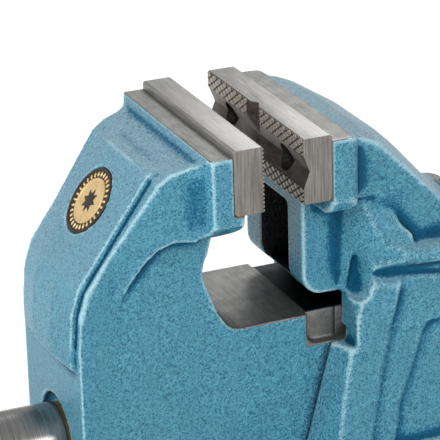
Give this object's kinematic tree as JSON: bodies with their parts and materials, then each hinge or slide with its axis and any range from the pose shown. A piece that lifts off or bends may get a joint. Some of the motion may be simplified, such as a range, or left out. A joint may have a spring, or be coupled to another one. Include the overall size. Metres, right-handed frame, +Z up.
{
  "type": "bench vise",
  "caption": "Bench vise with a hammertone painted body, an enclosed guided slide, a flat and a prism jaw plate, and a sliding tommy bar.",
  "frame": {"origin": "centre of the base bolt pattern, on the underside of the base", "axes": "+X from the operator towards the rear, +Y to the operator's left, +Z up"},
  "size_m": [0.399, 0.253, 0.212],
  "materials": {
    "paint": "hammertone",
    "jaw_steel": "ground",
    "spindle_steel": "turned",
    "dark_steel": "black oxide",
    "bronze": "machined",
    "badge_brass": "satin",
    "rubber": "matte",
    "black_plastic": "matte"
  },
  "bodies": {
    "fixed_body": {"rear_body": "paint", "rear_jaw_plate": "jaw_steel", "rear_plate_screws": "dark_steel", "spindle_nut": "bronze", "nut_bolts": "dark_steel", "nut_bolt_washers": "spindle_steel", "guide_gib": "bronze", "gib_screws": "dark_steel", "gib_lock_nuts": "dark_steel"},
    "moving_jaw": {"front_jaw": "paint", "front_jaw_plate": "jaw_steel", "front_plate_screws": "dark_steel", "thrust_washer": "bronze", "badge": "badge_brass", "slide_end_cover": "black_plastic", "cover_screws": "dark_steel"},
    "screw": {"spindle": "spindle_steel", "retaining_collar": "dark_steel", "collar_pin": "spindle_steel"},
    "handle": {"handle_bar": "spindle_steel", "handle_knob_left": "spindle_steel", "handle_knob_right": "spindle_steel", "handle_bumper_rings": "rubber"}
  },
  "joints": [
    {"name": "jaw_slide", "type": "slide", "parent": "fixed_body", "child": "moving_jaw", "axis": [-1, 0, 0], "range_m": [-0.0203, 0.1295]},
    {"name": "spindle_turn", "type": "hinge", "parent": "moving_jaw", "child": "screw", "pos_m": [-0.2, 0, 0.049], "axis": [-1, 0, 0], "range_deg": [-1461, 9323]},
    {"name": "handle_slide", "type": "slide", "parent": "screw", "child": "handle", "axis": [0, 1, 0], "range_m": [-0.081, 0.081]}
  ],
  "couplings": [
    {"joint": "jaw_slide", "follows": "spindle_turn", "m_per_rad": 0.00079577}
  ]
}
